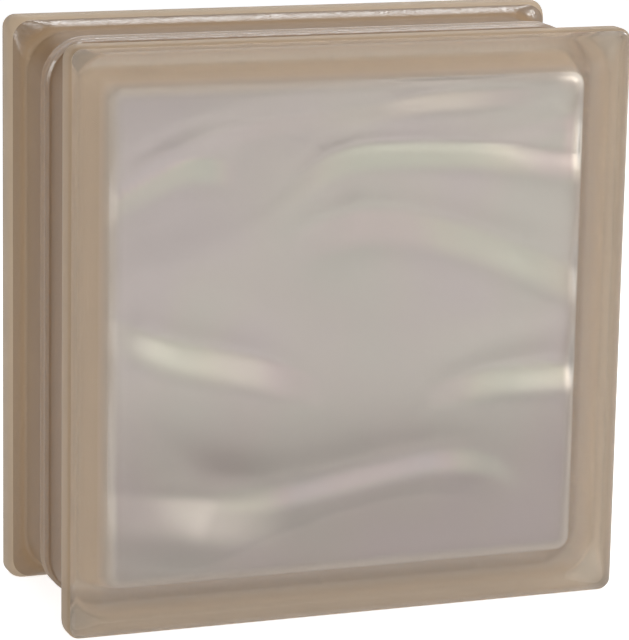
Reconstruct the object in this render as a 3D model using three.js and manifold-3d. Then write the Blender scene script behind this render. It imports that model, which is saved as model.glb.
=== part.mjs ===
// Hollow glass block: two pressed glass trays, fused mouth to mouth.
// Units are millimetres. +Z is up, the front face looks along -Y, and the origin is
// the middle of the block's footprint, on the level that it stands on.
import * as THREE from "three";
import { mergeVertices } from "three/addons/utils/BufferGeometryUtils.js";
import Module from "manifold-3d";

const wasm = await Module();
wasm.setup();

// ---- overall block ----
const BLOCK_WIDTH = 190;
const BLOCK_HEIGHT = 190;
const BLOCK_DEPTH = 80;

// ---- outside of one tray, measured from its face towards the weld ----
const FACE_EDGE_RADIUS = 2.5;      // rounded edge between the face and the rim
const FACE_CORNER_RADIUS = 4.2;    // corner of the square rim, seen from the front
const RIM_LAND = 4;                // flat strip of the rim that the block rests on
const SHOULDER_RUN = 11.5;         // depth over which the rim rolls down into the mortar channel
const SHOULDER_KNEE = 6.5;         // where in that run the rolled rim turns steep
const CHANNEL_DEPTH = 4.3;         // how far the channel floor lies below the rim
const CHANNEL_CORNER_RADIUS = 13;  // corner of the channel floor
const LIP_RISE = 1.5;              // lip squeezed out beside the weld, above the channel floor
const LIP_HALF_WIDTH = 2.1;        // from the foot of the lip to its top
const LIP_FROM_WELD = 2.4;         // from the top of the lip to the weld line
const WELD_RISE = 0.8;             // crease between the two lips, above the channel floor

// ---- inside of one tray ----
const PANE_THICKNESS = 8;          // mean thickness of the wavy pane
const WALL_THICKNESS = 6;          // side wall at the weld
const WALL_DRAFT = 3.9;            // how much thicker the wall is at the pane
const FILLET_WIDTH = 4;            // rounding between pane and wall, along the pane
const FILLET_DEPTH = 1.6;          // and along the wall
const CAVITY_CORNER_RADIUS = 4.5;  // corner of the hollow, between its walls
const PANE_CORNER_RADIUS = 1.5;    // the same corner where the pane begins

// ---- steps of the faceted surfaces ----
const ARC_STEPS = 5;
const LIP_STEPS = 8;
const SHOULDER_STEPS = 9;
const CORNER_STEPS = 6;
const WAVE_CELLS = 48;

// Crests pressed into the inner side of the pane, in millimetres from the pane's middle.
// line holds [x, z, share of the rise] along the crest, from left to right. Above the line
// the relief falls off over "above"; below it a flank as wide as "flank" slopes down evenly,
// ending softly by "softness". A crest with a negative rise is a hollow.
const CRESTS = [
  { rise: 1.2, above: 8, flank: 5.5, rounding: 1, softness: 0.25, line: [
    [-84, 50, 0.3], [-46, 66, 0.4], [-5, 72.5, 0.5], [9, 74, 0.9], [40, 77.5, 1], [70, 77.5, 0]] },
  { rise: 2, above: 4, flank: 9, rounding: 1, softness: 0.1, line: [
    [-26, 41, 0], [-19, 50, 0.6], [-7, 58, 1], [17, 60.5, 1], [56, 58.5, 1], [84, 55, 0.9]] },
  { rise: 1.2, above: 7, flank: 8, rounding: 1, softness: 0.25, line: [
    [-84, 44.5, 0.7], [-65, 54, 0.8], [-47, 58, 0.8], [-38, 56, 0]] },
  { rise: 2, above: 6, flank: 12, rounding: 2, softness: 0.2, line: [
    [-14, 30, 0], [-6, 33.5, 0.5], [9, 37, 1], [26, 35, 1], [49, 28, 1], [70, 17, 0.7],
    [84, 11, 0.5]] },
  { rise: 2.9, above: 7, flank: 10, rounding: 1.5, softness: 0.1, line: [
    [-84, 8, 0.4], [-68, 3.5, 1], [-45, -3.5, 1], [-24, -8.5, 0.9], [-16, -13, 0.5],
    [-7, -20, 0]] },
  { rise: 2.6, above: 6, flank: 9.5, rounding: 1.5, softness: 0.12, line: [
    [24, -23, 0], [39, -18, 0.9], [57, -14.7, 1], [84, -15.8, 1]] },
  { rise: 2.5, above: 5, flank: 9, rounding: 4, softness: 0.25, line: [
    [-84, -22, 0], [-68, -31, 0.8], [-54, -43.5, 1], [-37, -50, 1], [-16, -49.5, 1],
    [15, -44.5, 1], [42, -42.5, 0.9], [62, -51, 0]] },
  { rise: 2.4, above: 9, flank: 15, rounding: 4, softness: 0.15, line: [
    [-84, -45, 0.8], [-58, -48, 1], [-40, -54, 0.8], [-22, -58, 0]] },
  { rise: -1.3, above: 8, flank: 14, rounding: 0.6, softness: 0.25, line: [
    [-84, -66, 0.6], [-50, -74, 0.5], [-36, -70, 1], [-6, -61.5, 1], [29, -57.5, 0.9],
    [58, -66, 0]] },
  { rise: 0.9, above: 4, flank: 6, rounding: 1, softness: 0.25, line: [
    [43, 62, 0], [66, 65, 0.9], [84, 70, 1]] },
  { rise: -0.9, above: 8, flank: 12, rounding: 2, softness: 0.25, line: [
    [-84, 18, 0], [-72, 23, 0.8], [-50, 29, 0.9], [-27, 38, 0.6], [0, 45, 0]] },
];
const SWELL_RISE = 0.4;            // slow swell of the whole pane between the crests
const SWELL_LENGTH = 74;           // length of that swell
const SWELL_SLANT = 0.25;          // how much it drops for each millimetre to the right

const TRAY_DEPTH = BLOCK_DEPTH / 2;
const SMALLEST_CORNER = 0.8;
const SLIVER_SIZE = 0.02;          // slivers left by the cuts are cleared below this size
const MERGE_DISTANCE = 1e-4;       // corners nearer than this are one corner

// Corner points of a rounded rectangle in the XZ plane, pulled in by inset on every side.
function roundedRing(inset, radius) {
  const halfWidth = BLOCK_WIDTH / 2 - inset;
  const halfHeight = BLOCK_HEIGHT / 2 - inset;
  const points = [];
  const quadrants = [[1, 1], [-1, 1], [-1, -1], [1, -1]];
  quadrants.forEach(([sideX, sideZ], quadrant) => {
    const centreX = sideX * (halfWidth - radius);
    const centreZ = sideZ * (halfHeight - radius);
    for (let step = 0; step <= CORNER_STEPS; step++) {
      const angle = (quadrant + step / CORNER_STEPS) * Math.PI / 2;
      points.push([centreX + radius * Math.cos(angle), centreZ + radius * Math.sin(angle)]);
    }
  });
  return points;
}

// Closed body through a row of rounded rectangles, each { depth, inset, radius }.
// Depth runs from the face of the tray (0) towards the weld, along +Y.
function loft(sections) {
  const rings = sections.map(({ inset, radius }) => roundedRing(inset, radius));
  const ringSize = rings[0].length;
  const positions = [];
  rings.forEach((ring, row) => {
    ring.forEach(([x, z]) => positions.push(x, sections[row].depth, z));
  });
  const triangles = [];
  for (let row = 0; row + 1 < rings.length; row++) {
    for (let here = 0; here < ringSize; here++) {
      const next = (here + 1) % ringSize;
      const a = row * ringSize + here;
      const b = row * ringSize + next;
      triangles.push(a, a + ringSize, b);
      triangles.push(b, a + ringSize, b + ringSize);
    }
  }
  const capStart = (rings.length - 1) * ringSize;
  for (let corner = 1; corner + 1 < ringSize; corner++) {
    triangles.push(0, corner, corner + 1);
    triangles.push(capStart, capStart + corner + 1, capStart + corner);
  }
  const geometry = new THREE.BufferGeometry();
  geometry.setAttribute("position", new THREE.Float32BufferAttribute(positions, 3));
  geometry.setIndex(triangles);
  return geometry;
}

function solid(geometry) {
  const bare = geometry.clone();
  bare.deleteAttribute("normal");
  bare.deleteAttribute("uv");
  const merged = mergeVertices(bare, MERGE_DISTANCE);
  return new wasm.Manifold(new wasm.Mesh({
    numProp: 3,
    vertProperties: new Float32Array(merged.attributes.position.array),
    triVerts: new Uint32Array(merged.index.array),
  }));
}

function geometryOf(body) {
  const mesh = body.getMesh();
  const geometry = new THREE.BufferGeometry();
  geometry.setAttribute("position", new THREE.Float32BufferAttribute(mesh.vertProperties, 3));
  geometry.setIndex([...mesh.triVerts]);
  geometry.computeVertexNormals();
  return geometry;
}

// Height above the channel floor of the lip beside the weld and of the crease on the weld line.
function liftBesideWeld(fromWeld) {
  const away = (fromWeld - LIP_FROM_WELD) / LIP_HALF_WIDTH;
  const foot = away > 0 ? 0 : WELD_RISE;
  const share = (1 + Math.cos(Math.min(Math.abs(away), 1) * Math.PI)) / 2;
  return foot + (LIP_RISE - foot) * share;
}

// ---- outside: face edge, rim, shoulder, channel floor and the lip beside the weld ----
function outsideSections() {
  const sections = [];
  // The rounding of a square's corner grows with its depth below the rim.
  const cornerAt = (inset) => FACE_CORNER_RADIUS
    + (CHANNEL_CORNER_RADIUS - FACE_CORNER_RADIUS) * inset / CHANNEL_DEPTH;

  for (let step = 0; step <= ARC_STEPS; step++) {
    const angle = step / ARC_STEPS * Math.PI / 2;
    const inset = FACE_EDGE_RADIUS * (1 - Math.sin(angle));
    sections.push({
      depth: FACE_EDGE_RADIUS * (1 - Math.cos(angle)),
      inset,
      radius: Math.max(FACE_CORNER_RADIUS - inset, SMALLEST_CORNER),
    });
  }

  const shoulderStart = FACE_EDGE_RADIUS + RIM_LAND;
  const shoulder = new THREE.CubicBezierCurve(
    new THREE.Vector2(shoulderStart, 0),
    new THREE.Vector2(shoulderStart + SHOULDER_KNEE, 0),
    new THREE.Vector2(shoulderStart + SHOULDER_KNEE, CHANNEL_DEPTH),
    new THREE.Vector2(shoulderStart + SHOULDER_RUN, CHANNEL_DEPTH),
  );
  shoulder.getPoints(SHOULDER_STEPS).forEach(({ x: depth, y: inset }) => {
    sections.push({ depth, inset, radius: cornerAt(inset) });
  });

  for (let step = 0; step <= LIP_STEPS; step++) {
    const fromWeld = (LIP_FROM_WELD + LIP_HALF_WIDTH) * (1 - step / LIP_STEPS);
    const lift = liftBesideWeld(fromWeld);
    sections.push({
      depth: TRAY_DEPTH - fromWeld,
      inset: CHANNEL_DEPTH - lift,
      radius: CHANNEL_CORNER_RADIUS + lift,
    });
  }
  return sections;
}

// ---- inside: drafted walls and a flat rounding, from under the pane to past the mouth ----
const MOUTH_INSET = CHANNEL_DEPTH + WALL_THICKNESS;
const WALL_END_INSET = MOUTH_INSET + WALL_DRAFT;

function cavitySections() {
  const overshoot = 1;
  const windowInset = WALL_END_INSET + FILLET_WIDTH;
  const sections = [
    { depth: PANE_THICKNESS / 2, inset: windowInset, radius: PANE_CORNER_RADIUS },
  ];
  for (let step = 0; step <= ARC_STEPS; step++) {
    const angle = step / ARC_STEPS * Math.PI / 2;
    sections.push({
      depth: PANE_THICKNESS + FILLET_DEPTH * (1 - Math.cos(angle)),
      inset: windowInset - FILLET_WIDTH * Math.sin(angle),
      radius: THREE.MathUtils.lerp(PANE_CORNER_RADIUS, CAVITY_CORNER_RADIUS, Math.sin(angle)),
    });
  }
  for (const depth of [TRAY_DEPTH, TRAY_DEPTH + overshoot]) {
    sections.push({ depth, inset: MOUTH_INSET, radius: CAVITY_CORNER_RADIUS });
  }
  return sections;
}

// ---- waves on the inner side of the pane ----
// Value of one column at x, on a smooth curve through the stations, level beyond its ends.
function along(stations, column, x) {
  const last = stations.length - 1;
  const slopeAt = (index) => {
    const before = stations[Math.max(index - 1, 0)];
    const after = stations[Math.min(index + 1, last)];
    return (after[column] - before[column]) / (after[0] - before[0]);
  };
  let index = 0;
  while (index < last - 1 && x > stations[index + 1][0]) index++;
  const here = stations[index];
  const next = stations[index + 1];
  const width = next[0] - here[0];
  const t = THREE.MathUtils.clamp((x - here[0]) / width, 0, 1);
  return (1 + 2 * t) * (1 - t) ** 2 * here[column]
    + t * (1 - t) ** 2 * width * slopeAt(index)
    + t * t * (3 - 2 * t) * next[column]
    + t * t * (t - 1) * width * slopeAt(index + 1);
}

// Straight slope from 1 at the crest line to 0 beyond the flank, rounded off by softness.
function slopeDown(away, flank, softness) {
  const softplus = (value) => Math.log1p(Math.exp(value));
  const soft = flank * softness;
  return softplus((flank - away) / soft) / softplus(flank / soft);
}

function crestHeight({ rise, above, flank, rounding, softness, line }, x, z) {
  const away = z - along(line, 1, x);
  const share = Math.max(along(line, 2, x), 0);
  const rounded = Math.hypot(away, rounding) - rounding;
  const fall = away > 0 ? Math.exp(-rounded / above) : slopeDown(rounded, flank, softness);
  return rise * share * fall;
}

function waveHeight(x, z) {
  const swell = SWELL_RISE * Math.sin(2 * Math.PI * (z + x * SWELL_SLANT) / SWELL_LENGTH);
  return CRESTS.reduce((height, crest) => height + crestHeight(crest, x, z), swell);
}

// Slab whose inner side carries the waves. Its back lies within the pane, and its four
// edges end inside the side walls.
function waveSlab() {
  const buriedInset = (CHANNEL_DEPTH + MOUTH_INSET) / 2;
  const back = PANE_THICKNESS / 3;
  const width = BLOCK_WIDTH - 2 * buriedInset;
  const height = BLOCK_HEIGHT - 2 * buriedInset;
  const depth = PANE_THICKNESS - back;
  const slab = new THREE.BoxGeometry(width, depth, height, WAVE_CELLS, 1, WAVE_CELLS);
  slab.translate(0, back + depth / 2, 0);
  const position = slab.attributes.position;
  for (let index = 0; index < position.count; index++) {
    if (position.getY(index) > PANE_THICKNESS - MERGE_DISTANCE) {
      const lift = waveHeight(position.getX(index), position.getZ(index));
      position.setY(index, PANE_THICKNESS + lift);
    }
  }
  return slab;
}

// ---- one tray, face at Y = -TRAY_DEPTH and mouth at the weld plane Y = 0 ----
function trayGeometry() {
  const tray = solid(loft(outsideSections()))
    .subtract(solid(loft(cavitySections())))
    .add(solid(waveSlab()))
    .simplify(SLIVER_SIZE);
  const geometry = geometryOf(tray);
  geometry.translate(0, -TRAY_DEPTH, BLOCK_HEIGHT / 2);
  return geometry;
}

function satinGlass(color) {
  return new THREE.MeshStandardMaterial({ color, roughness: 0.45, metalness: 0 });
}

const tray = trayGeometry();

const frontShell = new THREE.Mesh(tray, satinGlass(0xa8978a));
frontShell.name = "front_shell";

// The back tray comes out of the same mould and is turned to face the other way.
const backShell = new THREE.Mesh(tray, satinGlass(0x9c8b7c));
backShell.name = "back_shell";
backShell.rotation.z = Math.PI;

const glassBlock = new THREE.Group();
glassBlock.add(frontShell, backShell);

export default glassBlock;
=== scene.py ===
"""Looks of a hollow glass block: satin faces, pearly waves inside the panes, brown coated sides."""
import math

import bmesh
import bpy
import numpy as np
from mathutils import Matrix, Vector


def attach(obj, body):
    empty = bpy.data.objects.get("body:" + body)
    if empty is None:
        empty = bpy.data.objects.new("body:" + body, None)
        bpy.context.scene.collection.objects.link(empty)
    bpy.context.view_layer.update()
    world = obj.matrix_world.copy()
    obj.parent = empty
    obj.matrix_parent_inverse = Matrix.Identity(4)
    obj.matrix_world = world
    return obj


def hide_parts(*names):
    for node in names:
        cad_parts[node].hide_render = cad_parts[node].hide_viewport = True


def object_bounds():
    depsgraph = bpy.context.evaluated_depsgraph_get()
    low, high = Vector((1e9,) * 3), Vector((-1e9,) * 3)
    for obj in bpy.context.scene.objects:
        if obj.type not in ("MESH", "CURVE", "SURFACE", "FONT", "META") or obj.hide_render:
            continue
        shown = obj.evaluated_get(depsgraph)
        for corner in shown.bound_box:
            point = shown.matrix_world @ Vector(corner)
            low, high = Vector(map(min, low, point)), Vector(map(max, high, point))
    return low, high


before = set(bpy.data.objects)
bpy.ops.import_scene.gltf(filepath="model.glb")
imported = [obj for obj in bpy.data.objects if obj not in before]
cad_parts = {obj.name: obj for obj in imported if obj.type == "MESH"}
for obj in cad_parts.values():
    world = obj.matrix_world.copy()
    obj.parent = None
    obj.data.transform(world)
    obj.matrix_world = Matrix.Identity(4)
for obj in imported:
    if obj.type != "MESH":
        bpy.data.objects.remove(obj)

CAD_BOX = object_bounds()
MM = 0.001

# ---- the block, in millimetres, as in the frame ----
BLOCK_WIDTH, BLOCK_DEPTH, BLOCK_HEIGHT = ((high - low) / MM for low, high in zip(*CAD_BOX))
TRAY_DEPTH = BLOCK_DEPTH / 2

# ---- outside of one tray, measured from its face towards the weld ----
FACE_EDGE_RADIUS = 2.5         # rounded edge between the face and the rim
FACE_CORNER_RADIUS = 4.2       # corner of the square rim, seen from the front
FACE_MARGIN = 0.4              # the face's flat middle begins this far inside its rounded edge
RIM_LAND = 4                   # flat strip of the rim that the block rests on
SHOULDER_RUN = 11.5            # depth over which the rim rolls down into the mortar channel
SHOULDER_KNEE = 6.5            # where in that run the rolled rim turns steep
CHANNEL_DEPTH = 4.3            # how far the channel floor lies below the rim
CHANNEL_CORNER_RADIUS = 13     # corner of the channel floor
LIP_RISE = 1.5                 # lip squeezed out beside the weld, above the channel floor
LIP_HALF_WIDTH = 2.1           # from the foot of the lip to its top
LIP_FROM_WELD = 2.4            # from the top of the lip to the weld line
WELD_RISE = 0.8                # crease between the two lips, above the channel floor

# ---- inside of one tray ----
PANE_THICKNESS = 8             # mean thickness of the wavy pane
WALL_THICKNESS = 6             # side wall at the weld
WALL_DRAFT = 3.9               # how much thicker the wall is at the pane
WALL_RINGS = (32, 24)          # depths of the rings between the weld and the pearl coat
PEARL_UP_WALL = 9              # how far the pearl coat runs up the walls from the fillet
FILLET_WIDTH = 4               # rounding between pane and wall, along the pane
FILLET_DEPTH = 1.6             # and along the wall
CAVITY_CORNER_RADIUS = 4.5     # corner of the hollow, between its walls
PANE_CORNER_RADIUS = 1.5       # the same corner where the pane begins
SMALLEST_CORNER = 0.6          # and the least that it shrinks to, towards the pane's middle
RADIUS_LOSS = 0.5              # what that corner loses for each millimetre further in

# How far the inner faces lie within the block's outline: at the weld, at the foot of the walls
# and where the window begins.
MOUTH_INSET = CHANNEL_DEPTH + WALL_THICKNESS
WALL_END_INSET = MOUTH_INSET + WALL_DRAFT
WINDOW_INSET = WALL_END_INSET + FILLET_WIDTH

# ---- crests pressed into the inner side of a pane, in millimetres from the pane's middle ----
# line holds (x, z, share of the rise, hue) along the crest, from left to right. Above the line
# the relief falls off over "above"; below it a flank as wide as "flank" slopes down evenly,
# ending the more gently the larger "soft" is. "edge" is the share of the rise lost in a short
# step at the crest, and "rounding" rounds the crest. A crest with a negative rise is a hollow.
# "glow" is a painted highlight: how much brighter the pearl coat is painted on the flank, where it
# turns to the light, and the hue is its colour there: 0 green, 0.3 yellow, 0.6 pink, 1 violet. A
# crest without a glow has no hues. A crest may also paint shade: how much darker and browner the
# coat is painted below the line, down to the frame.
CREST_DEFAULTS = dict(edge=0, rounding=1, soft=0.25, glow=0, painted_shade=0)
CRESTS = [
    # the long low ridge along the top, highest right of the middle
    dict(rise=1.8, above=6, flank=6, glow=1, line=[
        (-84, 50, 0.2, 1), (-64, 60, 0.25, 0.9), (-46, 66, 0.25, 0.8), (-27, 70, 0.25, 0.5),
        (-5, 71.5, 0.3, 0.4), (9, 73, 0.5, 0.4), (19, 74.5, 1, 0.4), (30, 75.7, 1.2, 0.4),
        (40, 76, 1.1, 0.45), (55, 76.3, 0.5, 0.6), (70, 76, 0, 0.6)]),
    # the upper ridge, with a sharp edge
    dict(rise=2.1, above=6, flank=9, edge=0.22, rounding=1.5, soft=0.1, glow=1, line=[
        (-30, 42, 0, 0.4), (-20, 49.5, 0.25, 0.4), (-13, 54.5, 0.5, 0.4), (-7, 57.5, 0.75, 0.2),
        (2, 60, 0.95, 0.1), (17, 60.5, 1, 0.05), (42, 59.5, 1, 0.1), (56, 58, 1, 0.35),
        (68, 56, 0.9, 0.6), (84, 54.5, 0.9, 0.6)]),
    # the short ridge at the upper left
    dict(rise=1.2, above=7, flank=8, glow=0.8, line=[
        (-84, 44.5, 0.3, 0.2), (-76, 49, 0.6, 0.15), (-65, 54, 0.8, 0.1), (-57, 57.5, 1, 0.1),
        (-47, 58, 0.8, 0), (-36, 56, 0, 0.9)]),
    # the ridge below the upper one, which falls to the right
    dict(rise=2.3, above=7.5, flank=12, rounding=3, soft=0.2, glow=0.75, line=[
        (-26, 30, 0, 0.8), (-15, 35, 0.35, 0.7), (-4, 38, 0.7, 0.65), (4, 39.5, 1, 0.65),
        (12, 39.5, 1, 0.6), (22, 38, 1, 0.5), (32, 35.5, 1, 0.25), (42, 32.5, 1.05, 0.2),
        (52, 28.7, 1.1, 0.2), (62, 24.5, 1.1, 0.2), (72, 20.5, 1, 0.3), (84, 15.5, 0.9, 0.4)]),
    # the bright ridge at the left, which falls to the right
    dict(rise=3.4, above=10, flank=11.5, rounding=2, soft=0.12, glow=1, line=[
        (-84, 9, 0.15, 0.2), (-76, 7, 0.4, 0.2), (-68, 3.5, 0.8, 0.15), (-58, 0, 1, 0.2),
        (-45, -3.5, 1, 0.3), (-32, -6.5, 1, 0.35), (-24, -9, 0.85, 0.55), (-15, -12.5, 0.4, 0.6),
        (-4, -16, 0, 0.7)]),
    # the bright ridge at the right
    dict(rise=2.9, above=11, flank=9, rounding=2, soft=0.12, glow=1, line=[
        (24, -20.5, 0, 0.65), (32, -19.5, 0.3, 0.6), (40, -18.2, 0.65, 0.5), (48, -17, 0.9, 0.3),
        (57, -16.2, 1, 0.2), (70, -15.8, 1, 0.2), (84, -16.2, 0.95, 0.15)]),
    # the hollow above it
    dict(rise=-1.2, above=10, flank=12, rounding=3, soft=0.3, line=[
        (28, -7, 0), (44, -4, 0.4), (58, -2, 0.9), (70, -1, 1), (84, -1, 1)]),
    # the broad slope at the lower left
    dict(rise=3.2, above=9, flank=22, rounding=6, glow=0.15, line=[
        (-84, -24, 0.1, 0.3), (-76, -27, 0.25, 0.3), (-68, -31.5, 0.5, 0.3), (-61, -37, 0.7, 0.3),
        (-54, -42, 0.85, 0.3), (-46, -46, 0.95, 0.3), (-37, -48.5, 0.85, 0.3),
        (-27, -50, 0.45, 0.3), (-14, -50, 0, 0.3)]),
    # the bright swelling at its foot
    dict(rise=1.7, above=7, flank=15, rounding=4, soft=0.3, glow=0.75, line=[
        (-84, -47, 0.4, 0.5), (-74, -48, 0.6, 0.5), (-64, -49.5, 0.8, 0.5),
        (-54, -51, 0.95, 0.45), (-45, -52.5, 1.05, 0.45), (-37, -53.5, 0.8, 0.4),
        (-28, -54, 0.4, 0.4), (-16, -54, 0, 0.4)]),
    # the lower ridge
    dict(rise=2.7, above=9, flank=9, rounding=4, glow=0.8, line=[
        (-50, -48, 0, 0.2), (-37, -49.5, 0.4, 0.2), (-27, -49.8, 0.75, 0.4),
        (-16, -48.5, 0.95, 0.9), (0, -45.8, 1, 0.7), (15, -43.3, 1, 0.7), (30, -41.5, 1, 0.9),
        (42, -42, 0.85, 0.3), (52, -44.5, 0.5, 0.1), (66, -51, 0, 0)]),
    # the lowest hollow, with painted shade below it, down to the frame
    dict(rise=-1.8, above=8, flank=14, rounding=0.6, painted_shade=0.45, line=[
        (-84, -72, 0.4), (-70, -74, 0.5), (-60, -76, 0.6), (-50, -76, 0.7), (-41, -73, 0.9),
        (-33, -70, 1), (-24, -67, 1), (-16, -65, 1), (-6, -61.5, 1), (3, -60, 1), (15, -58, 1),
        (29, -57.5, 0.9), (38, -59, 0.7), (47, -61.5, 0.4), (60, -66, 0)]),
    # the hollow above the left end of the top ridge
    dict(rise=-1.5, above=10, flank=11, rounding=3, soft=0.3, line=[
        (-84, 58, 0.2), (-72, 64, 0.8), (-56, 70, 1), (-40, 75, 1), (-24, 79, 1), (-8, 82, 0.5),
        (6, 84, 0)]),
    # the small ridge at the upper right
    dict(rise=0.9, above=4, flank=6, glow=0.3, line=[
        (43, 62, 0, 0.7), (55, 63, 0.5, 0.7), (66, 65, 0.9, 0.7), (76, 67.5, 1, 0.7),
        (84, 70, 1, 0.7)]),
    # the top right corner, with a painted highlight
    dict(rise=1.3, above=3, flank=7, soft=0.2, glow=1, line=[
        (70, 83, 0, 0.5), (76, 83, 0.8, 0.5), (84, 83, 1, 0.5)]),
    # the stretch of the right edge that carries a painted highlight
    dict(rise=0.3, above=3, flank=15, glow=1, line=[
        (73, 65, 0, 0.6), (76.5, 65, 0.9, 0.6), (84, 65, 1, 0.6)]),
    # the shallow hollow at the left
    dict(rise=-0.9, above=8, flank=12, rounding=2, line=[
        (-84, 18, 0), (-72, 23, 0.8), (-60, 25, 1), (-50, 29, 0.9), (-38, 33, 0.7), (-27, 38, 0.6),
        (-14, 43, 0.3), (0, 45, 0)]),
]
EDGE_STEP = 2.2                # width of the short step at a crest with an "edge"
GLOW_EDGE = 0.5                # a glow sets in over this much above and below the rounded line
GLOW_END = (0.7, 1.3)          # and fades between these shares of the flank's width
TINY_GLOW = 1e-6               # keeps the mean hue defined where nothing glows
# Painted shade on the pearl coat: where it begins and ends below a crest, and how it darkens the
# whole coat low in the window.
SHADE_ABOVE = 1                  # the dimming begins this far above the line,
SHADE_EDGE = 14                  # is full this far below it,
SHADE_SOFTER = 12                # and so much further down where the crest runs out
LOWER_SHADE_SPAN = (5, 50)       # all of the coat grows darker over this span below the middle
SWELL_RISE = 0.4               # slow swell of the whole pane between the crests
SWELL_LENGTH = 74              # length of that swell
SWELL_SLANT = 0.25             # how much it drops for each millimetre to the right
WAVES_RUN_OUT = 1.4            # the waves grow to full height this far past the foot of the wall

# ---- fineness of the meshes ----
EDGE_STEPS = 56
CORNER_STEPS = 10
ARC_STEPS = 8
LIP_STEPS = 12
SHOULDER_STEPS = 22
WAVE_STEP = 1.0

# ---- finishes of a shell, as material slots, and where they meet, in millimetres ----
SATIN, RIM, SHOULDER, CHANNEL, LIP, WELD, PEARL, INNER_WALL = range(8)
SATIN_WRAP = 0.5               # share of the face's rounded edge that the satin side wraps
RIM_COAT_TO = 1.2              # the rim's matte coat ends this far below the rim
SHOULDER_COAT_TO = 3.9         # and the shoulder's glossy coat this far below it
LIP_COAT_RISE = 0.5            # the lips' paler coat begins this far above the channel floor
GLOSS_FADE = (2.0, 3.6)        # the shoulder's varnish fades out between these depths
SIDE_GLOSS = 0.4               # share of the top side's gloss that the other sides have
TOP_GLOSS_SPAN = (-12, 4)      # the gloss changes over this span across the face's diagonals

# ---- satin glass; colours are linear ----
SATIN_TINT, SATIN_CLEAR = (0.91, 0.87, 0.82), 0.93
HAZE_TINT, HAZE_CLEAR = (0.66, 0.55, 0.43), 0.72
# The haze of the frame: millimetres in from the block's edge, and the share of the full haze.
HAZE_REACH = 18
HAZE_STOPS = [(0.36, 0.2), (FACE_EDGE_RADIUS, 1), (9, 1), (HAZE_REACH, 0)]
# The satin side has painted shade at the block's edge: it is darkest there, by a tint that ends
# this many millimetres in.
EDGE_TINT, EDGE_TINT_TO = (0.66, 0.57, 0.47), 2.88
SATIN_ROUGHNESS = 0.22
SATIN_SPECULAR = 0.25
GLASS_IOR = 1.5

# ---- coats on the outside of the walls ----
RIM_TAN = (0.44, 0.328, 0.218)
CHANNEL_BROWN = (0.215, 0.125, 0.057)
LIP_BROWN = (0.275, 0.172, 0.09)
SHOULDER_BROWN = (0.13, 0.072, 0.029)
# The same coats seen from within the glass, painted paler there as lit copies: painted light that
# stands in for the light reaching them through the glass.
COAT_THROUGH_GLASS = (0.80, 0.685, 0.555)
RIM_THROUGH_GLASS = (0.70, 0.60, 0.485)
SHOULDER_THROUGH_GLASS = (0.73, 0.63, 0.51)
# From there the rim and the shoulder are darker at the block's corners, at most by this.
CORNER_SHADE = (0.5, 0.5, 0.5)
COAT_LETS_THROUGH = 0.45       # share of the light that passes a coat
COAT_ROUGHNESS = 0.5
COAT_SPECULAR = 0.1
# Grain of the coats: scale and detail of the noise, strength of the bump, its height in metres.
GRAIN_NOISE, GRAIN_STRENGTH, GRAIN_HEIGHT = (800.0, 2.0), 0.2, 0.0004
# Varnish over the coats, and over the lips: roughness and index of refraction.
SIDE_VARNISH, LIP_VARNISH = (0.17, 1.8), (0.12, 2.3)
CHANNEL_GLOSS = 0.12           # how much of that varnish is left on the channel floor
# Speckles of the varnish: the noise, the span of it in which the varnish thins, its least share.
SPECKLE_NOISE, SPECKLE_SPAN, SPECKLE_THIN = (1300.0, 1.0), (0.4, 0.56), 0.5

# ---- weld: a thin veil of tint ----
WELD_TINT, WELD_DENSITY, WELD_ROUGHNESS = (0.70, 0.54, 0.38), 0.5, 0.8

# ---- pearl coat ----
# Where no flank glows the coat follows a cloudy noise, and where one glows it follows the hue, in
# paler colours that are a painted highlight.
PEARL_CALM = [(0.35, (0.47, 0.455, 0.425)), (0.5, (0.48, 0.445, 0.425)),
              (0.65, (0.475, 0.43, 0.435))]
PEARL_HUES = [(0, (0.53, 0.565, 0.49)), (0.3, (0.61, 0.59, 0.51)),
              (0.6, (0.61, 0.52, 0.525)), (1, (0.55, 0.51, 0.545))]
CLOUD_NOISE, CLOUD_MEAN = (22.0, 1.0), 0.5
HUE_DRIFT = 0.5                # how far the clouds shift the hue
PEARL_SHADE_TINT = (0.69, 0.65, 0.645)
PEARL_ROUGHNESS = 0.32
# The "border" of a vertex is 0 in the window, rises to 1 over the fillet, and is 2 where the coat
# ends on the wall. The coat takes the fillet's tint, in full at this border, and is less like
# metal there. Up the wall it grows paler and browner. These paler tints are painted light: they
# lift the shade that falls on the fillet and the wall.
FILLET_TINT, FILLET_TINT_FULL = (0.60, 0.565, 0.545), 0.8
PEARL_METAL, FILLET_METAL = 0.6, 0.15
WALL_TINT = (0.86, 0.755, 0.66)
# A glowing flank that runs out over the fillet ends in a painted glint, white and like metal, in
# full at this border.
GLINT_WHITE, GLINT_FULL = (0.95, 0.93, 0.9), 0.4

# ---- camera: the pinhole camera fitted to the block's edges in the photo ----
# Its place in millimetres, its turns in degrees to the right, down and over, and its focal
# length and the photo's longer side in pixels.
CAMERA_PLACE = (-391.7, -1042.7, 342.0)
CAMERA_YAW, CAMERA_PITCH, CAMERA_ROLL = 20.66, 12.74, 1.09
FOCAL_PIXELS, PHOTO_PIXELS = 3442, 640
SENSOR_WIDTH = 36
CLIP_START, CLIP_END = 0.01, 50

# ---- stage, in metres ----
FLOOR_REACH = 3.0
FLOOR_COLOR = (0.75, 0.75, 0.75)
WHITE = (1, 1, 1)
# Strength of the floor's own light and of the white surroundings: as they are seen, straight on,
# in a reflection or through the glass, and as they light everything else. The surroundings'
# light runs from the horizon to straight above. Both ends are equal, but a strength that goes by
# the direction makes Cycles sample the surroundings as a lamp.
FLOOR_SEEN, FLOOR_LIGHT = 0.8, 0.4
WORLD_SEEN, HORIZON_LIGHT, ZENITH_LIGHT = 1.0, 0.2, 0.2
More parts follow.
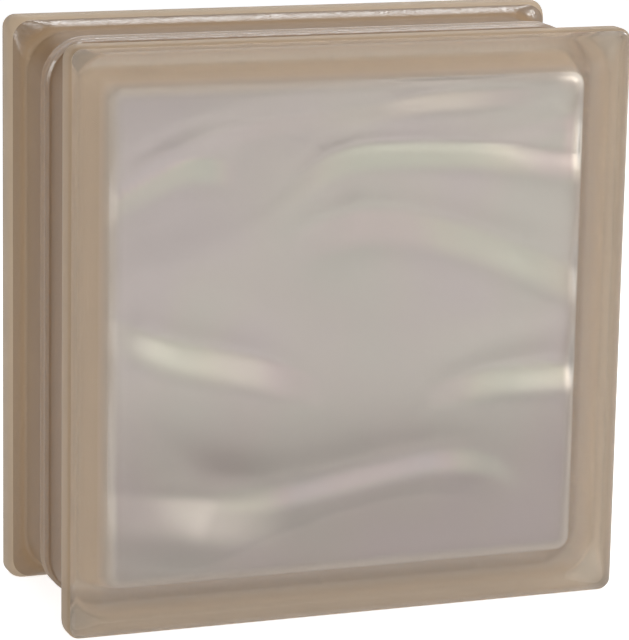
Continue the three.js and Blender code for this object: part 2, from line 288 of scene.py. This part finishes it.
# Each lamp: name, place, aim, size, and power in watts.
LAMPS = [
    # in front, half-way up
    ("softbox", (0.2, -0.62, 0.78), (0, 0, 0.1), (1.0, 0.3), 0.6),
    # a narrow strip overhead, to the right
    ("topbox", (0.38, 0.2, 1.2), (0.38, 0, 0.19), (0.9, 0.08), 2.8),
    # a small one at the front right
    ("edgebox", (0.77, -0.39, 0.6), (0, 0, 0.1), (0.25, 0.25), 4.0),
    # at the left
    ("leftbox", (-1.1, -0.35, 0.5), (0, 0, 0.1), (0.6, 0.6), 3.4),
    # high in front
    ("frontbox", (0.1, -0.35, 1.1), (0, 0, 0.1), (1.0, 0.3), 2.05),
    # behind, to the right
    ("backbox", (0.45, 1.06, 0.8), (0.45, 0, 0.19), (1.0, 0.25), 1.4),
]


# =============================== relief of a pane ===============================

def smoothstep(value, low, high):
    share = np.clip((value - low) / (high - low), 0, 1)
    return share * share * (3 - 2 * share)


def slope_down(away, width, soft):
    """Falls evenly from 1 at 0 to 0 at width, and ends softly."""
    softness = width * soft
    return np.logaddexp(0, (width - away) / softness) / np.logaddexp(0, width / softness)


def along(places, values, x):
    """A smooth curve through the given values, level beyond its ends."""
    before = np.maximum(np.arange(len(places)) - 1, 0)
    after = np.minimum(np.arange(len(places)) + 1, len(places) - 1)
    slopes = (values[after] - values[before]) / (places[after] - places[before])
    slopes[[0, -1]] = 0
    index = np.clip(np.searchsorted(places, x) - 1, 0, len(places) - 2)
    width = places[index + 1] - places[index]
    t = np.clip((x - places[index]) / width, 0, 1)
    return ((1 + 2 * t) * (1 - t) ** 2 * values[index]
            + t * (1 - t) ** 2 * width * slopes[index]
            + t * t * (3 - 2 * t) * values[index + 1]
            + t * t * (t - 1) * width * slopes[index + 1])


def crest_relief(crest, x, z):
    """Height of one crest, how much its flank glows, the hue there, and the painted shade below."""
    crest = {**CREST_DEFAULTS, **crest}
    places, line, shares, *hues = (np.array(column, float) for column in zip(*crest["line"]))
    share = np.clip(along(places, shares, x), 0, None)
    hue = np.interp(x, places, hues[0]) if hues else 0
    away = z - along(places, line, x)
    below = -away
    flank, rounding, edge = crest["flank"], crest["rounding"], crest["edge"]

    rounded = np.sqrt(away ** 2 + rounding ** 2) - rounding
    slope = ((1 - edge) * slope_down(rounded, flank, crest["soft"])
             + edge * slope_down(rounded, EDGE_STEP, crest["soft"]))
    fall = np.where(away > 0, np.exp(-rounded / crest["above"]), slope)

    begun = smoothstep(below, -GLOW_EDGE, GLOW_EDGE + rounding)
    ended = smoothstep(below, *(flank * end for end in GLOW_END))
    band = begun * (1 - ended)
    painted_shading = smoothstep(below, -SHADE_ABOVE, SHADE_EDGE + SHADE_SOFTER * (1 - share))
    return (crest["rise"] * share * fall, crest["glow"] * share * band, hue,
            crest["painted_shade"] * painted_shading)


def wave_relief(x, z):
    """Height of all the waves, and the painted highlight, hue and painted shade of the pearl coat
    on them.
    """
    height = SWELL_RISE * np.sin(2 * math.pi * (z + x * SWELL_SLANT) / SWELL_LENGTH)
    glow = np.zeros_like(x)
    weighted_hue = np.zeros_like(x)
    painted_shade = smoothstep(-z, *LOWER_SHADE_SPAN)
    for crest in CRESTS:
        lift, strength, hue, painted_shading = crest_relief(crest, x, z)
        height = height + lift
        glow = glow + strength
        weighted_hue = weighted_hue + strength * hue
        painted_shade = painted_shade + painted_shading
    hue = weighted_hue / np.maximum(glow, TINY_GLOW)
    glow = np.minimum(glow, 1)
    return height, glow, hue, np.minimum(painted_shade, 1) * (1 - glow)


# =============================== shape of a shell ===============================

def ring(inset, radius):
    """Points of a rounded rectangle in XZ, pulled in by inset on every side."""
    centre = np.array([BLOCK_WIDTH, BLOCK_HEIGHT]) / 2 - inset - radius
    sides = [(1, 1), (-1, 1), (-1, -1), (1, -1)]

    def on_corner(corner, share):
        angle = (corner + share) * math.pi / 2
        return centre * sides[corner % 4] + radius * np.array([math.cos(angle), math.sin(angle)])

    points = []
    for corner in range(4):
        points += [on_corner(corner, step / CORNER_STEPS) for step in range(CORNER_STEPS + 1)]
        start, goal = points[-1], on_corner(corner + 1, 0)
        points += [start + (goal - start) * step / EDGE_STEPS for step in range(1, EDGE_STEPS)]
    return np.array(points)


def lip_lift(from_weld):
    """Height of the squeezed-out lip above the channel floor, and of the crease at the weld."""
    away = min(abs(from_weld - LIP_FROM_WELD) / LIP_HALF_WIDTH, 1)
    base = 0 if from_weld > LIP_FROM_WELD else WELD_RISE
    return base + (LIP_RISE - base) * (1 + math.cos(away * math.pi)) / 2


def outside_sections():
    """(depth, inset, corner radius, finish) from the face to the weld."""
    sections = [(0.0, FACE_EDGE_RADIUS + FACE_MARGIN, FACE_CORNER_RADIUS, SATIN)]
    for step in range(ARC_STEPS + 1):
        angle = step / ARC_STEPS * math.pi / 2
        inset = FACE_EDGE_RADIUS * (1 - math.sin(angle))
        depth = FACE_EDGE_RADIUS * (1 - math.cos(angle))
        finish = SATIN if step <= ARC_STEPS * SATIN_WRAP else RIM
        sections.append((depth, inset, FACE_CORNER_RADIUS - inset, finish))
    # The shoulder is a cubic curve with both handles at the knee, one level with the rim and
    # one with the channel floor.
    for step in range(SHOULDER_STEPS + 1):
        t = step / SHOULDER_STEPS
        depth = 3 * t * (1 - t) * SHOULDER_KNEE + t ** 3 * SHOULDER_RUN
        sunk = 3 * (1 - t) * t * t + t ** 3
        inset = CHANNEL_DEPTH * sunk
        radius = FACE_CORNER_RADIUS + (CHANNEL_CORNER_RADIUS - FACE_CORNER_RADIUS) * sunk
        if inset < RIM_COAT_TO:
            finish = RIM
        elif inset < SHOULDER_COAT_TO:
            finish = SHOULDER
        else:
            finish = CHANNEL
        sections.append((FACE_EDGE_RADIUS + RIM_LAND + depth, inset, radius, finish))
    for step in range(LIP_STEPS + 1):
        from_weld = (LIP_FROM_WELD + LIP_HALF_WIDTH) * (1 - step / LIP_STEPS)
        lift = lip_lift(from_weld)
        finish = LIP if lift > LIP_COAT_RISE else CHANNEL
        sections.append((TRAY_DEPTH - from_weld, CHANNEL_DEPTH - lift,
                         CHANNEL_CORNER_RADIUS + lift, finish))
    return sections


def inside_sections():
    """(depth, inset, corner radius, finish) from the weld, up the wall and over the fillet."""
    fillet_start = PANE_THICKNESS + FILLET_DEPTH
    wall = [(TRAY_DEPTH, WELD)]
    wall += [(depth, INNER_WALL) for depth in (*WALL_RINGS, fillet_start + PEARL_UP_WALL)]
    wall += [(fillet_start, PEARL)]
    sections = []
    for depth, finish in wall:
        climbed = (TRAY_DEPTH - depth) / (TRAY_DEPTH - fillet_start)
        sections.append((depth, MOUTH_INSET + WALL_DRAFT * climbed, CAVITY_CORNER_RADIUS, finish))
    for step in range(1, ARC_STEPS + 1):
        angle = (1 - step / ARC_STEPS) * math.pi / 2
        inset = WINDOW_INSET - FILLET_WIDTH * math.sin(angle)
        depth = PANE_THICKNESS + FILLET_DEPTH * (1 - math.cos(angle))
        radius = (PANE_CORNER_RADIUS
                  + (CAVITY_CORNER_RADIUS - PANE_CORNER_RADIUS) * math.sin(angle))
        sections.append((depth, inset, radius, PEARL))
    return sections


def pane_sections():
    """(depth, inset, corner radius, finish) from the fillet to the middle of the pane."""
    half_window = min(BLOCK_WIDTH, BLOCK_HEIGHT) / 2 - WINDOW_INSET
    sections = []
    for step in range(1, int(half_window / WAVE_STEP)):
        run = step * WAVE_STEP
        radius = max(PANE_CORNER_RADIUS - run * RADIUS_LOSS, SMALLEST_CORNER)
        sections.append((PANE_THICKNESS, WINDOW_INSET + run, radius, PEARL))
    return sections


def ring_values(x, z, depth, inset, finish):
    """Places of a ring's points, and the values that the materials read there."""
    height, glow, hue, painted_shade = wave_relief(x, z)
    waves = smoothstep(inset, WALL_END_INSET, WALL_END_INSET + WAVES_RUN_OUT)
    in_window = smoothstep(inset, WALL_END_INSET, WINDOW_INSET)
    y = depth + waves * height - TRAY_DEPTH
    places = np.column_stack([x, y, z + BLOCK_HEIGHT / 2]) * MM

    to_top = smoothstep(z - np.abs(x), *TOP_GLOSS_SPAN)
    varnished = 1 - smoothstep(inset, *GLOSS_FADE) if finish == SHOULDER else 1
    # From 0 to 1 round a corner of the ring, and 1 or more along the straight side after it.
    round_corner = np.arange(len(x)) % (CORNER_STEPS + EDGE_STEPS) / CORNER_STEPS
    values = {
        "glow": glow * (finish == PEARL),
        "hue": hue,
        "painted_shade": painted_shade,
        "border": 1 - in_window + (finish == INNER_WALL),
        "corner": (finish in (RIM, SHOULDER)) * np.sin(math.pi * np.minimum(round_corner, 1)),
        "gloss": varnished * (SIDE_GLOSS + (1 - SIDE_GLOSS) * to_top),
    }
    return places, values


def shell_mesh(name):
    """One tray: a closed skin over the face, the outside, the weld mouth and the inside."""
    bm = bmesh.new()
    layers = {key: bm.verts.layers.float.new(key)
              for key in ("glow", "hue", "painted_shade", "border", "corner", "gloss")}
    sections = [*outside_sections(), *inside_sections(), *pane_sections()]
    rings = []
    for depth, inset, radius, finish in sections:
        x, z = ring(inset, radius).T
        places, values = ring_values(x, z, depth, inset, finish)
        vertices = [bm.verts.new(place) for place in places]
        for key, layer in layers.items():
            for vertex, value in zip(vertices, np.broadcast_to(values[key], len(x))):
                vertex[layer] = value
        rings.append(vertices)

    size = len(rings[0])
    for outer, inner, (*_, finish) in zip(rings, rings[1:], sections[1:]):
        for here in range(size):
            following = (here + 1) % size
            quad = (outer[here], outer[following], inner[following], inner[here])
            bm.faces.new(quad).material_index = finish
    # The two flat ends are the face and the middle of the pane's wavy side.
    bm.faces.new(reversed(rings[0])).material_index = SATIN
    bm.faces.new(rings[-1]).material_index = PEARL
    bmesh.ops.recalc_face_normals(bm, faces=bm.faces)
    mesh = bpy.data.meshes.new(name)
    bm.to_mesh(mesh)
    bm.free()
    for polygon in mesh.polygons:
        polygon.use_smooth = len(polygon.vertices) == 4
    return mesh


def add_object(name, data):
    obj = bpy.data.objects.new(name, data)
    bpy.context.scene.collection.objects.link(obj)
    return obj


# =============================== materials ===============================

class Nodes:
    """Builds the node tree of a material or a world. Any input may be a value or a socket."""

    def __init__(self, owner, output="ShaderNodeOutputMaterial"):
        owner.use_nodes = True
        self.owner = owner
        self.tree = owner.node_tree
        self.tree.nodes.clear()
        self.output = self.node(output)

    def put(self, socket, value):
        if isinstance(value, bpy.types.NodeSocket):
            self.tree.links.new(value, socket)
        elif socket.type == "RGBA":
            socket.default_value = (*value, 1)
        else:
            socket.default_value = value

    def node(self, kind, inputs=None, **settings):
        made = self.tree.nodes.new(kind)
        for key, value in settings.items():
            setattr(made, key, value)
        for key, value in (inputs or {}).items():
            self.put(made.inputs[key], value)
        return made

    def math(self, operation, *values):
        return self.node("ShaderNodeMath", dict(enumerate(values)), operation=operation).outputs[0]

    def span(self, value, low, high, start=0.0, end=1.0):
        """Low up to start, high from end on, and straight in between."""
        inputs = {"Value": value, "From Min": start, "From Max": end, "To Min": low, "To Max": high}
        return self.node("ShaderNodeMapRange", inputs).outputs[0]

    def mix(self, share, first, second, blend_type="MIX"):
        """The second colour over the first. A mix node keeps its colours in sockets 6, 7 and 2."""
        return self.node("ShaderNodeMix", {0: share, 6: first, 7: second}, data_type="RGBA",
                         blend_type=blend_type).outputs[2]

    def ramp(self, value, stops):
        """Runs through the colours, or grey levels, of the stops."""
        node = self.node("ShaderNodeValToRGB", {"Fac": value})
        elements = node.color_ramp.elements
        while len(elements) > 1:
            elements.remove(elements[-1])
        for index, (place, color) in enumerate(stops):
            element = elements[0] if index == 0 else elements.new(place)
            element.position = place
            element.color = (*color, 1) if isinstance(color, tuple) else (color, color, color, 1)
        return node.outputs["Color"]

    def attribute(self, name):
        return self.node("ShaderNodeAttribute", attribute_name=name).outputs["Fac"]

    def noise(self, scale, detail):
        place = self.node("ShaderNodeTexCoord").outputs["Object"]
        inputs = {"Vector": place, "Scale": scale, "Detail": detail}
        return self.node("ShaderNodeTexNoise", inputs).outputs["Fac"]

    def seen(self):
        """1 for what the camera sees straight on, in a reflection or through glass, else 0."""
        path = self.node("ShaderNodeLightPath").outputs
        either = self.math("MAXIMUM", path["Is Camera Ray"], path["Is Glossy Ray"])
        return self.math("MAXIMUM", either, path["Is Transmission Ray"])

    def surface(self, kind, inputs):
        """Ends the tree in a shader of this kind."""
        self.put(self.output.inputs["Surface"], self.node(kind, inputs).outputs[0])
        return self.owner


def material_nodes(name):
    return Nodes(bpy.data.materials.new(name))


def satin_glass():
    """Etched glass, which blurs what lies behind it, is hazier and browner over the frame, and has
    painted shade at the block's edge.
    """
    n = material_nodes("satin_glass")
    place = n.node("ShaderNodeTexCoord").outputs["Object"]
    axes = n.node("ShaderNodeSeparateXYZ", {"Vector": place}).outputs
    across = n.math("ABSOLUTE", axes["X"])
    up = n.math("ABSOLUTE", n.math("SUBTRACT", axes["Z"], BLOCK_HEIGHT / 2 * MM))
    inset = n.math("SUBTRACT", BLOCK_WIDTH / 2 * MM, n.math("MAXIMUM", across, up))
    inset = n.math("DIVIDE", inset, HAZE_REACH * MM)
    haze = n.ramp(inset, [(stop / HAZE_REACH, level) for stop, level in HAZE_STOPS])
    # Painted shade: darker towards the block's edge.
    on_edge = n.ramp(inset, [(0, 1), (EDGE_TINT_TO / HAZE_REACH, 0)])
    return n.surface("ShaderNodeBsdfPrincipled", {
        "Base Color": n.mix(on_edge, n.mix(haze, SATIN_TINT, HAZE_TINT), EDGE_TINT),
        "Roughness": SATIN_ROUGHNESS,
        "IOR": GLASS_IOR,
        "Specular IOR Level": SATIN_SPECULAR,
        "Transmission Weight": n.span(haze, SATIN_CLEAR, HAZE_CLEAR),
    })


def outer_coat(name, color, through_glass, varnish, gloss=None, glossy_color=None):
    """Brown coat on the outside of the glass, painted paler, as a lit copy, where it is seen from
    within the glass.

    Without a gloss of its own it takes the vertices' gloss, and its varnish is speckled.
    """
    n = material_nodes(name)
    if gloss is None:
        speckle = n.span(n.noise(*SPECKLE_NOISE), SPECKLE_THIN, 1, *SPECKLE_SPAN)
        gloss = n.math("MULTIPLY", n.attribute("gloss"), speckle)
    if glossy_color is not None:
        color = n.mix(n.attribute("gloss"), color, glossy_color)
    within = n.node("ShaderNodeNewGeometry").outputs["Backfacing"]
    in_corner = n.math("MULTIPLY", within, n.attribute("corner"))
    # Painted light: a paler, lit colour where the coat is seen from within the glass, with painted
    # shade at the corners.
    shown = n.mix(in_corner, n.mix(within, color, through_glass), CORNER_SHADE, "MULTIPLY")
    grain = n.node("ShaderNodeBump", {
        "Height": n.noise(*GRAIN_NOISE),
        "Strength": GRAIN_STRENGTH,
        "Distance": GRAIN_HEIGHT,
    }).outputs["Normal"]
    roughness, ior = varnish
    return n.surface("ShaderNodeBsdfPrincipled", {
        "Base Color": shown,
        "Roughness": COAT_ROUGHNESS,
        "Specular IOR Level": COAT_SPECULAR,
        "Coat Weight": gloss,
        "Coat Roughness": roughness,
        "Coat IOR": ior,
        "Normal": grain,
        "Coat Normal": grain,
        "Transmission Weight": COAT_LETS_THROUGH,
    })


def fused_weld():
    """Where the trays are fused most light runs on, and a thin veil of tint is left."""
    n = material_nodes("fused_weld")
    return n.surface("ShaderNodeBsdfPrincipled", {
        "Base Color": WELD_TINT,
        "Roughness": WELD_ROUGHNESS,
        "Specular IOR Level": 0.0,
        "Alpha": WELD_DENSITY,
    })


def pearl_coat():
    """Pearly coat behind the waves: grey, with painted highlights in a play of colour where a flank
    glows.
    """
    n = material_nodes("pearl_coat")
    glow = n.attribute("glow")
    border = n.attribute("border")
    cloud = n.noise(*CLOUD_NOISE)
    drift = n.math("SUBTRACT", cloud, CLOUD_MEAN)
    hue = n.math("MULTIPLY_ADD", drift, HUE_DRIFT, n.attribute("hue"))
    # Painted highlight: where a flank glows the coat takes the paler hues.
    color = n.mix(glow, n.ramp(cloud, PEARL_CALM), n.ramp(hue, PEARL_HUES))
    # Painted shade: the coat is darker and browner low in the window and below the lowest hollow.
    color = n.mix(n.attribute("painted_shade"), color, PEARL_SHADE_TINT, "MULTIPLY")
    # Painted light: paler tints lift the shade on the fillet and up the wall.
    edge_tint = n.mix(n.span(border, 0, 1, start=1, end=2), FILLET_TINT, WALL_TINT)
    color = n.mix(n.span(border, 0, 1, end=FILLET_TINT_FULL), color, edge_tint)
    # Painted glint: white and like metal, where a glowing flank runs out over the fillet.
    glint = n.math("MULTIPLY", n.span(border, 0, 1, end=GLINT_FULL), glow)
    metal = n.span(border, PEARL_METAL, FILLET_METAL)
    return n.surface("ShaderNodeBsdfPrincipled", {
        "Base Color": n.mix(glint, color, GLINT_WHITE),
        "Roughness": PEARL_ROUGHNESS,
        "Metallic": n.math("MAXIMUM", metal, glint),
    })


def wall_coat():
    """The bare part of the inner walls, in the paler, painted-light colour that the outer coats
    show through them.
    """
    n = material_nodes("wall_coat")
    return n.surface("ShaderNodeBsdfPrincipled", {
        "Base Color": COAT_THROUGH_GLASS,
        "Roughness": COAT_ROUGHNESS,
    })


def floor_paper():
    """White paper with a light of its own, which is seen stronger than it lights."""
    n = material_nodes("floor_paper")
    light = n.node("ShaderNodeEmission", {"Strength": n.span(n.seen(), FLOOR_LIGHT, FLOOR_SEEN)})
    paper = n.node("ShaderNodeBsdfDiffuse", {"Color": FLOOR_COLOR})
    return n.surface("ShaderNodeAddShader", {0: paper.outputs[0], 1: light.outputs[0]})


# =============================== stage ===============================

def build_camera():
    data = bpy.data.cameras.new("camera")
    data.sensor_width = SENSOR_WIDTH
    data.lens = FOCAL_PIXELS / PHOTO_PIXELS * SENSOR_WIDTH
    data.clip_start, data.clip_end = CLIP_START, CLIP_END
    yaw, pitch, roll = (math.radians(turn) for turn in (CAMERA_YAW, CAMERA_PITCH, CAMERA_ROLL))
    forward = Vector((math.sin(yaw) * math.cos(pitch), math.cos(yaw) * math.cos(pitch),
                      -math.sin(pitch)))
    level = Vector((math.cos(yaw), -math.sin(yaw), 0))
    right = level * math.cos(roll) + level.cross(forward) * math.sin(roll)
    up = right.cross(forward)
    turned = Matrix((right, up, -forward)).transposed().to_4x4()
    camera = add_object("camera", data)
    camera.matrix_world = Matrix.Translation(Vector(CAMERA_PLACE) * MM) @ turned
    bpy.context.scene.camera = camera


def build_floor():
    mesh = bpy.data.meshes.new("floor")
    corners = [(-FLOOR_REACH, -FLOOR_REACH, 0), (FLOOR_REACH, -FLOOR_REACH, 0),
               (FLOOR_REACH, FLOOR_REACH, 0), (-FLOOR_REACH, FLOOR_REACH, 0)]
    mesh.from_pydata(corners, [], [(0, 1, 2, 3)])
    mesh.materials.append(floor_paper())
    floor = add_object("floor", mesh)


def build_world():
    """White surroundings, which are seen brighter than they light."""
    world = bpy.data.worlds.new("studio")
    bpy.context.scene.world = world
    n = Nodes(world, "ShaderNodeOutputWorld")
    sky = n.node("ShaderNodeTexCoord").outputs["Generated"]
    height = n.node("ShaderNodeSeparateXYZ", {"Vector": sky}).outputs["Z"]
    strength = n.span(height, HORIZON_LIGHT, ZENITH_LIGHT)
    light = n.node("ShaderNodeBackground", {"Color": WHITE, "Strength": strength})
    shown = n.node("ShaderNodeBackground", {"Color": WHITE, "Strength": WORLD_SEEN})
    n.surface("ShaderNodeMixShader", {0: n.seen(), 1: light.outputs[0], 2: shown.outputs[0]})


def add_lamp(name, place, aim, size, power):
    light = bpy.data.lights.new(name, "AREA")
    light.shape = "RECTANGLE"
    light.size, light.size_y = size
    light.energy = power
    lamp = add_object(name, light)
    lamp.location = place
    lamp.rotation_euler = (Vector(aim) - Vector(place)).to_track_quat("-Z", "Y").to_euler()


# =============================== the block ===============================


def build_shell(node, turned):
    """Dresses one tray. A turned one faces back, half a turn about Z from the other."""
    mesh = shell_mesh(f"{node}_glass")
    if turned:
        mesh.transform(Matrix.Diagonal((-1, -1, 1, 1)))
    for material in MATERIALS:
        mesh.materials.append(material)
    shell = add_object(f"{node}_glass", mesh)
    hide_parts(node)
    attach(shell, "root")


# In the order of SATIN to INNER_WALL.
MATERIALS = [
    satin_glass(),
    outer_coat("rim_coat", RIM_TAN, RIM_THROUGH_GLASS, SIDE_VARNISH, gloss=0.0),
    outer_coat("shoulder_coat", CHANNEL_BROWN, SHOULDER_THROUGH_GLASS, SIDE_VARNISH,
               glossy_color=SHOULDER_BROWN),
    outer_coat("channel_coat", CHANNEL_BROWN, COAT_THROUGH_GLASS, SIDE_VARNISH,
               gloss=CHANNEL_GLOSS),
    outer_coat("lip_coat", LIP_BROWN, COAT_THROUGH_GLASS, LIP_VARNISH),
    fused_weld(),
    pearl_coat(),
    wall_coat(),
]
build_camera()
build_floor()
build_world()
for lamp in LAMPS:
    add_lamp(*lamp)
bpy.context.scene.view_settings.view_transform = "Standard"
build_shell("front_shell", turned=False)
build_shell("back_shell", turned=True)
